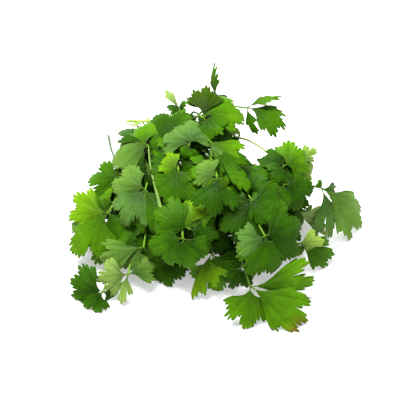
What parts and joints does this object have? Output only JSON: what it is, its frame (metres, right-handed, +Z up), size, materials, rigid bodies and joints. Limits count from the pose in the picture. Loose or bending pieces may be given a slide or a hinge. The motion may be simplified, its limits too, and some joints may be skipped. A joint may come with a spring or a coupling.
{
  "type": "coriander bunch",
  "caption": "Loose bunch of cut coriander lying on its side: lobed, toothed leaves fanned into a low heap, stalks gathered at the cut end.",
  "frame": {"origin": "on the surface that the bunch lies on, under the middle of its box", "axes": "+Z up from the surface, +Y towards the gathered cut ends of the stalks, +X to the right as seen from the leafy end"},
  "size_m": [0.2055, 0.2156, 0.088],
  "materials": {
    "leaf": "soft satin leaf surface, lighter and duller underneath",
    "stalk": "smooth, faintly ribbed, juicy green"
  },
  "bodies": {
    "root": {"front_right_stalk": "stalk", "front_right_leaf": "leaf", "big_right_stalk": "stalk", "big_right_leaf": "leaf", "small_right_stalk": "stalk", "small_right_leaf": "leaf", "folded_right_stalk": "stalk", "folded_right_leaf": "leaf", "far_right_stalk": "stalk", "far_right_leaf": "leaf", "upper_right_stalk": "stalk", "upper_right_leaf": "leaf", "mid_right_stalk": "stalk", "mid_right_leaf": "leaf", "dark_right_stalk": "stalk", "dark_right_leaf": "leaf", "back_right_stalk": "stalk", "back_right_leaf": "leaf", "top_stalk": "stalk", "top_leaf": "leaf", "spire_stalk": "stalk", "spire_leaf": "leaf", "under_top_stalk": "stalk", "under_top_leaf": "leaf", "upper_middle_stalk": "stalk", "upper_middle_leaf": "leaf", "dark_upper_left_stalk": "stalk", "dark_upper_left_leaf": "leaf", "upper_left_stalk": "stalk", "upper_left_leaf": "leaf", "outer_left_stalk": "stalk", "outer_left_leaf": "leaf", "mid_left_stalk": "stalk", "mid_left_leaf": "leaf", "low_left_stalk": "stalk", "low_left_leaf": "leaf", "front_left_stalk": "stalk", "front_left_leaf": "leaf", "pale_left_stalk": "stalk", "pale_left_leaf": "leaf", "corner_left_stalk": "stalk", "corner_left_leaf": "leaf", "front_middle_stalk": "stalk", "front_middle_leaf": "leaf", "folded_front_stalk": "stalk", "folded_front_leaf": "leaf", "low_front_stalk": "stalk", "low_front_leaf": "leaf", "bright_middle_stalk": "stalk", "bright_middle_leaf": "leaf", "pale_middle_stalk": "stalk", "pale_middle_leaf": "leaf", "yellow_middle_stalk": "stalk", "yellow_middle_leaf": "leaf", "striped_middle_stalk": "stalk", "striped_middle_leaf": "leaf", "inner_right_stalk": "stalk", "inner_right_leaf": "leaf", "pale_back_stalk": "stalk", "pale_back_leaf": "leaf"}
  },
  "joints": []
}
